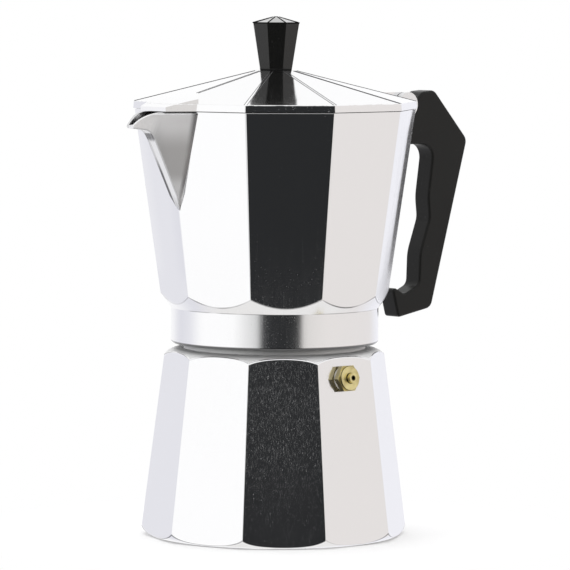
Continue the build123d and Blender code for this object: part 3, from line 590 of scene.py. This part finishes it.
def softSeal(name, finish):
    plan = sealSkin
    material, tree, shader = newMaterial(name)
    skin = useGroup(tree, mouldedSkin, Swell=plan["swell"], Grain=finish["grain"])
    feed(tree, shader["Base Color"], blendColour(tree, skin["Swell"], finish["colour"], finish["worn"]))
    feed(tree, shader["Roughness"], scaled(tree, skin["Grain"], plan["roughSpread"], finish["rough"]))
    feed(tree, shader["Normal"], bumpOf(tree, skin["Grain"], plan["grainStrength"], plan["grainDepth"]))
    return material


edgePlastic = blackPlastic("shadowed plastic edge", edgeShadow)
dress(blackPlastic("satin black plastic", handlePlastic), "handle")
dress(shineTop(blackPlastic("glossy black plastic", knobPlastic), knobPlastic), "knob")
dress(softSeal("white silicone", whiteSilicone), "gasket")
dress(softSeal("pale fibre", paleFibre), "valve_washer")
print("plastic and seals finished")


# geometry trees with named sizes, turned into plain meshes
def newShape(name, sizes):
    tree = bpy.data.node_groups.new(name, "GeometryNodeTree")
    for label, value in sizes.items():
        kind = "NodeSocketInt" if isinstance(value, int) else "NodeSocketFloat"
        tree.interface.new_socket(label, in_out="INPUT", socket_type=kind).default_value = value
    tree.interface.new_socket("Material", in_out="INPUT", socket_type="NodeSocketMaterial")
    tree.interface.new_socket("Geometry", in_out="OUTPUT", socket_type="NodeSocketGeometry")
    return tree, put(tree, "NodeGroupInput").outputs, put(tree, "NodeGroupOutput").inputs


def endShape(tree, given, result, geometry, smooth):
    shaded = lay(tree, "GeometryNodeSetShadeSmooth", {"Geometry": geometry, "Shade Smooth": smooth})
    whole = lay(tree, "GeometryNodeRealizeInstances", {"Geometry": shaded[0]})
    coated = lay(tree, "GeometryNodeSetMaterial", {"Geometry": whole[0], "Material": given["Material"]})
    feed(tree, result["Geometry"], coated[0])
    return tree


def joined(tree, *pieces):
    node = put(tree, "GeometryNodeJoinGeometry")
    for piece in pieces:
        feed(tree, node.inputs[0], piece)
    return node.outputs[0]


def circle(tree, radius, corners):
    sizes = {"Resolution": corners, "Radius": radius}
    return lay(tree, "GeometryNodeCurvePrimitiveCircle", sizes, mode="RADIUS")["Curve"]


def pointPlace(tree):
    return partsOf(tree, put(tree, "GeometryNodeInputPosition").outputs[0])


def growPiece(name, tree, sizes, material, body):
    maker = bpy.data.objects.new(name + "Maker", bpy.data.meshes.new(name + "Maker"))
    bpy.context.scene.collection.objects.link(maker)
    grower = maker.modifiers.new("shape", "NODES")
    grower.node_group = tree
    wanted = dict(sizes, Material=material)
    for item in tree.interface.items_tree:
        if item.in_out == "INPUT" and item.name in wanted:
            grower[item.identifier] = wanted[item.name]
    graph = bpy.context.evaluated_depsgraph_get()
    mesh = bpy.data.meshes.new_from_object(maker.evaluated_get(graph), depsgraph=graph)
    mesh.name = name
    bpy.data.objects.remove(maker)
    piece = bpy.data.objects.new(name, mesh)
    bpy.context.scene.collection.objects.link(piece)
    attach(piece, body)
    return piece


# rounded right-hand thread: a tube bent along a helix, half sunk in the wall that carries it.
# Run is the share of its length over which it fades at each end, down to Tip.
neckThread = {"Radius": 37.2 * mm, "Depth": 0.75 * mm, "Half Width": 1.0 * mm, "Lead": 4.0 * mm, "Turns": 1.9,
              "Start": 0.4, "Bottom": 78.4 * mm, "Segments": 190, "Round": 10, "Run": 0.09, "Tip": 0.1}
collarThread = {"Radius": 38.3 * mm, "Depth": 0.75 * mm, "Half Width": 1.0 * mm, "Lead": 4.0 * mm, "Turns": 1.6,
                "Start": 0.4 + math.pi, "Bottom": 80.4 * mm, "Segments": 160, "Round": 10, "Run": 0.09, "Tip": 0.1}


def makeThreadTree():
    tree, given, result = newShape("screw thread", neckThread)
    tube = lay(tree, "GeometryNodeMeshCylinder",
               {"Vertices": given["Round"], "Side Segments": given["Segments"], "Radius": 1.0, "Depth": 1.0},
               fill_type="NGON")
    x, y, z = pointPlace(tree)
    along = calc(tree, "ADD", z, 0.5)
    swing = calc(tree, "ARCTAN2", y, x)
    size = times(tree, ramp(tree, along, 0.0, given["Run"], given["Tip"], 1.0),
                 ramp(tree, along, minus(tree, 1.0, given["Run"]), 1.0, 1.0, given["Tip"]))
    turns = times(tree, along, given["Turns"])
    angle = scaled(tree, turns, math.tau, given["Start"])
    bulge = times(tree, calc(tree, "COSINE", swing), times(tree, size, given["Depth"]))
    radius = calc(tree, "ADD", given["Radius"], bulge)
    climb = scaled(tree, turns, given["Lead"], given["Bottom"])
    sink = times(tree, calc(tree, "SINE", swing), times(tree, size, given["Half Width"]))
    bent = vectorOf(tree, times(tree, radius, calc(tree, "COSINE", angle)),
                    times(tree, radius, calc(tree, "SINE", angle)), minus(tree, climb, sink))
    moved = lay(tree, "GeometryNodeSetPosition", {"Geometry": tube["Mesh"], "Position": bent})
    return endShape(tree, given, result, moved[0], True)


# punched plate: rows of holes on a honeycomb, inside a plain rim
funnelPlate = {"Radius": 32.9 * mm, "Thickness": 0.8 * mm, "Bottom": 67.1 * mm, "Field": 30.2 * mm,
               "Spacing": 4.3 * mm, "Hole": 0.85 * mm, "Columns": 21, "Rows": 21, "Round": 10,
               "Rim Round": 96, "Weld": 0.01 * mm}
filterPlate = {"Radius": 33.0 * mm, "Thickness": 0.8 * mm, "Bottom": 91.9 * mm, "Field": 26.5 * mm,
               "Spacing": 2.7 * mm, "Hole": 0.5 * mm, "Columns": 29, "Rows": 29, "Round": 8,
               "Rim Round": 96, "Weld": 0.01 * mm}


def makePlateTree():
    tree, given, result = newShape("punched plate", funnelPlate)
    rowStep = times(tree, given["Spacing"], math.sqrt(0.75))
    grid = lay(tree, "GeometryNodeMeshGrid",
               {"Vertices X": given["Columns"], "Vertices Y": given["Rows"],
                "Size X": times(tree, minus(tree, given["Columns"], 1.0), given["Spacing"]),
                "Size Y": times(tree, minus(tree, given["Rows"], 1.0), rowStep)})
    x, y = pointPlace(tree)[:2]
    row = calc(tree, "ROUND", calc(tree, "DIVIDE", y, rowStep))
    # every other row moves by half a step
    shift = times(tree, calc(tree, "FLOORED_MODULO", row, 2.0), times(tree, given["Spacing"], 0.5))
    staggered = lay(tree, "GeometryNodeSetPosition",
                    {"Geometry": grid["Mesh"], "Offset": vectorOf(tree, shift, 0.0, 0.0)})
    outside = calc(tree, "GREATER_THAN", lengthOf(tree, x, y), given["Field"])
    kept = lay(tree, "GeometryNodeDeleteGeometry", {"Geometry": staggered[0], "Selection": outside}, domain="POINT")
    hole = circle(tree, given["Hole"], given["Round"])
    rim = circle(tree, given["Radius"], given["Rim Round"])
    punched = lay(tree, "GeometryNodeInstanceOnPoints", {"Points": kept[0], "Instance": hole})
    loose = lay(tree, "GeometryNodeRealizeInstances", {"Geometry": punched[0]})
    sheet = lay(tree, "GeometryNodeFillCurve", {"Curve": joined(tree, loose[0], rim)}, mode="TRIANGLES")
    lifted = lay(tree, "GeometryNodeTransform",
                 {"Geometry": sheet[0], "Translation": vectorOf(tree, 0.0, 0.0, given["Bottom"])})
    under = lay(tree, "GeometryNodeFlipFaces", {"Mesh": lifted[0]})
    thick = lay(tree, "GeometryNodeExtrudeMesh",
                {"Mesh": lifted[0], "Offset Scale": given["Thickness"], "Individual": False}, mode="FACES")
    welded = lay(tree, "GeometryNodeMergeByDistance",
                 {"Geometry": joined(tree, thick["Mesh"], under[0]), "Distance": given["Weld"]})
    return endShape(tree, given, result, welded[0], False)


# two fine raised lines along every ridge of the lid's roof; under the hood over the spout they stop short
ridgeLines = {"Sides": 10, "Rim Reach": 57.9 * mm, "Rim Height": 177.6 * mm, "Crown Reach": 8.5 * mm,
              "Crown Height": 189.92 * mm, "Apart": 0.6 * mm, "Turn": 0.0, "Bead": 0.095 * mm, "Bead Round": 8,
              "Hood Reach": 42.4 * mm}
# the knob's pointed top has one line on each edge and one round its rim, and no hood
knobLines = {"Sides": 8, "Rim Reach": 10.05 * mm, "Rim Height": 209.4 * mm, "Crown Reach": 1.4 * mm,
             "Crown Height": 211.68 * mm, "Apart": 0.0, "Turn": knobPlastic["turn"],
             "Bead": 0.27 * mm, "Bead Round": 8, "Hood Reach": 1.0}


def makeRidgeTree(name, sizes, offsets, ringed):
    tree, given, result = newShape(name, sizes)
    lines = []
    for side in offsets:
        aside = times(tree, given["Apart"], side)
        ends = {"Start": vectorOf(tree, given["Rim Reach"], aside, given["Rim Height"]),
                "End": vectorOf(tree, given["Crown Reach"], aside, given["Crown Height"])}
        lines.append(lay(tree, "GeometryNodeCurvePrimitiveLine", ends)[0])
    corners = lay(tree, "GeometryNodePoints", {"Count": given["Sides"], "Position": (0.0, 0.0, 0.0)})
    index = put(tree, "GeometryNodeInputIndex").outputs[0]
    turn = calc(tree, "ADD", calc(tree, "DIVIDE", times(tree, index, math.tau), given["Sides"]), given["Turn"])
    placed = lay(tree, "GeometryNodeInstanceOnPoints",
                 {"Points": corners[0], "Instance": joined(tree, *lines), "Rotation": vectorOf(tree, 0.0, 0.0, turn)})
    loose = lay(tree, "GeometryNodeRealizeInstances", {"Geometry": placed[0]})
    x, y = pointPlace(tree)[:2]
    hood = times(tree, given["Hood Reach"], -1.0)
    overSpout = times(tree, calc(tree, "LESS_THAN", x, hood),
                      calc(tree, "LESS_THAN", calc(tree, "ABSOLUTE", y), times(tree, given["Apart"], 2.0)))
    slope = calc(tree, "DIVIDE", minus(tree, given["Crown Height"], given["Rim Height"]),
                 minus(tree, given["Rim Reach"], given["Crown Reach"]))
    level = scaled(tree, minus(tree, given["Rim Reach"], given["Hood Reach"]), slope, given["Rim Height"])
    short = lay(tree, "GeometryNodeSetPosition",
                {"Geometry": loose[0], "Selection": overSpout, "Position": vectorOf(tree, hood, y, level)})
    every = [short[0]]
    if ringed:
        ring = lay(tree, "GeometryNodeTransform",
                   {"Geometry": circle(tree, given["Rim Reach"], given["Sides"]),
                    "Translation": vectorOf(tree, 0.0, 0.0, given["Rim Height"]),
                    "Rotation": vectorOf(tree, 0.0, 0.0, given["Turn"])})
        every.append(ring[0])
    beads = lay(tree, "GeometryNodeCurveToMesh",
                {"Curve": joined(tree, *every), "Profile Curve": circle(tree, given["Bead"], given["Bead Round"]),
                 "Fill Caps": True})
    return endShape(tree, given, result, beads[0], True)


threadTree = makeThreadTree()
plateTree = makePlateTree()
growPiece("lidRidgeLines", makeRidgeTree("lid ridge lines", ridgeLines, (-1.0, 1.0), False), ridgeLines,
          darkLine, "lid")
growPiece("knobEdgeLines", makeRidgeTree("knob edge lines", knobLines, (0.0,), True), knobLines,
          edgePlastic, "lid")
growPiece("neckThread", threadTree, neckThread, cutAluminium, "boiler")
growPiece("collarThread", threadTree, collarThread, cutAluminium, "collector")
funnelSieve = growPiece("funnelSieve", plateTree, funnelPlate, spunAluminium, "funnel")
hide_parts("funnel_plate")
filterSieve = growPiece("filterSieve", plateTree, filterPlate, spunAluminium, "seal")
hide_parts("filter_plate")
print("ridge lines laid, threads cut and plates punched")

# pale floor that keeps the pot's shadow and runs out into white
floorPlan = {"size": 8.0, "colour": (0.95, 0.95, 0.952, 1), "rough": 0.9, "drop": 0.1 * mm, "whitens": (0.055, 0.13)}


def makeFloor():
    half, low = floorPlan["size"] / 2, -floorPlan["drop"]
    mesh = bpy.data.meshes.new("studioFloor")
    corners = [(-half, -half, low), (half, -half, low), (half, half, low), (-half, half, low)]
    mesh.from_pydata(corners, [], [(0, 1, 2, 3)])
    floor = bpy.data.objects.new("studioFloor", mesh)
    bpy.context.scene.collection.objects.link(floor)
    material, tree = newMaterial("pale floor", Base_Color=floorPlan["colour"], Roughness=floorPlan["rough"],
                                 Specular_IOR_Level=0.0)[:2]
    x, y = partsOf(tree, objectPlace(tree))[:2]
    away = ramp(tree, lengthOf(tree, x, y), *floorPlan["whitens"])
    light = put(tree, "ShaderNodeLightPath")
    blend = put(tree, "ShaderNodeMixShader")
    feed(tree, blend.inputs[0], times(tree, away, light.outputs["Is Camera Ray"]))
    feed(tree, blend.inputs[1], tree.nodes["Principled BSDF"].outputs[0])
    feed(tree, blend.inputs[2], put(tree, "ShaderNodeEmission").outputs[0])
    feed(tree, tree.nodes["Material Output"].inputs["Surface"], blend.outputs[0])
    mesh.materials.append(material)
    floor.visible_glossy = False


makeFloor()

# the camera's place and turn come from the photograph's outline of the pot
view = {"target": Vector((3.095, -2.810, 102.19)) * mm, "back": Vector((-0.6704, -0.7384, 0.0734)),
        "distance": 1772.47 * mm, "roll": math.radians(0.29), "lens": 273.35, "sensor": 36.0, "clip": (0.01, 50.0)}


def makeCamera():
    camera = bpy.data.cameras.new("photoCamera")
    camera.lens, camera.sensor_width = view["lens"], view["sensor"]
    camera.clip_start, camera.clip_end = view["clip"]
    holder = bpy.data.objects.new("photoCamera", camera)
    bpy.context.scene.collection.objects.link(holder)
    back = view["back"].normalized()
    level = Vector((0, 0, 1)).cross(back).normalized()
    upright = back.cross(level)
    right = level * math.cos(view["roll"]) + upright * math.sin(view["roll"])
    up = back.cross(right)
    turn = Matrix((right, up, back)).transposed().to_4x4()
    holder.matrix_world = Matrix.Translation(view["target"] + back * view["distance"]) @ turn
    bpy.context.scene.camera = holder


makeCamera()

# the studio: pale walls all round and one dark opening beside the camera.
# Each stop is an angle from the camera's side, to the right, and the brightness there.
studio = {"cameraSide": -132.24,
          "walls": ((-180, (1.06, 1.06, 1.06)), (-150, (0.98, 0.98, 1.0)), (-128, (0.79, 0.79, 0.85)),
                    (-108, (0.86, 0.86, 0.91)), (-88, (1.10, 1.10, 1.10)), (-46, (1.10, 1.10, 1.10)),
                    (-30, (0.86, 0.86, 0.86)), (-19, (0.76, 0.76, 0.76)), (-13.5, (0.026, 0.027, 0.029)),
                    (28, (0.023, 0.024, 0.025)), (32, (0.78, 0.76, 0.74)), (60, (0.865, 0.83, 0.81)),
                    (130, (0.85, 0.82, 0.81)), (150, (0.92, 0.92, 0.97)), (165, (0.95, 0.95, 1.0)),
                    (180, (1.06, 1.06, 1.06))),
          "ceiling": (1.06, 1.06, 1.06, 1), "ceilingRise": (math.radians(13), math.radians(26)),
          "floorTone": (0.90, 0.89, 0.88, 1), "floorRise": (math.radians(-58), math.radians(-38)),
          "seen": (1, 1, 1, 1)}


def makeStudio():
    world = bpy.data.worlds.new("studio")
    world.use_nodes = True
    bpy.context.scene.world = world
    tree = world.node_tree
    tree.nodes.clear()
    turned = lay(tree, "ShaderNodeVectorRotate", {"Vector": put(tree, "ShaderNodeTexCoord").outputs["Generated"],
                                                  "Angle": math.radians(-studio["cameraSide"])},
                 rotation_type="Z_AXIS")
    x, y, z = partsOf(tree, turned[0])
    walls = put(tree, "ShaderNodeValToRGB")
    feed(tree, walls.inputs[0], scaled(tree, calc(tree, "ARCTAN2", y, x), 1 / math.tau, 0.5))
    stops = walls.color_ramp.elements
    while len(stops) < len(studio["walls"]):
        stops.new(0.5)
    for stop, (degrees, colour) in zip(stops, studio["walls"]):
        stop.position = degrees / 360 + 0.5
        stop.color = colour + (1,)
    lift = calc(tree, "ARCSINE", z)
    room = blendColour(tree, ramp(tree, lift, *studio["ceilingRise"]), walls.outputs[0], studio["ceiling"])
    room = blendColour(tree, fade(tree, lift, *studio["floorRise"]), room, studio["floorTone"])
    light = put(tree, "ShaderNodeLightPath")
    seen = blendColour(tree, light.outputs["Is Camera Ray"], room, studio["seen"])
    background = lay(tree, "ShaderNodeBackground", {"Color": seen})
    feed(tree, put(tree, "ShaderNodeOutputWorld").inputs["Surface"], background[0])


makeStudio()

# soft lamps that shape the black pieces and ground the shadow
lamps = {"overhead": {"at": (0.1, 0.2, 1.3), "aim": (0, 0, 0.1), "size": 1.2, "power": 5.0},
         "side": {"at": (-1.3, 0.2, 0.9), "aim": (0, 0, 0.1), "size": 0.9, "power": 1.5}}


def makeLamps():
    for name, plan in lamps.items():
        lamp = bpy.data.lights.new(name, "AREA")
        lamp.size, lamp.energy = plan["size"], plan["power"]
        holder = bpy.data.objects.new(name, lamp)
        holder.location = plan["at"]
        holder.rotation_euler = (Vector(plan["aim"]) - holder.location).to_track_quat("-Z", "Y").to_euler()
        holder.visible_glossy = False
        bpy.context.scene.collection.objects.link(holder)


makeLamps()
bpy.context.scene.view_settings.view_transform = "Standard"
print("studio and camera set")
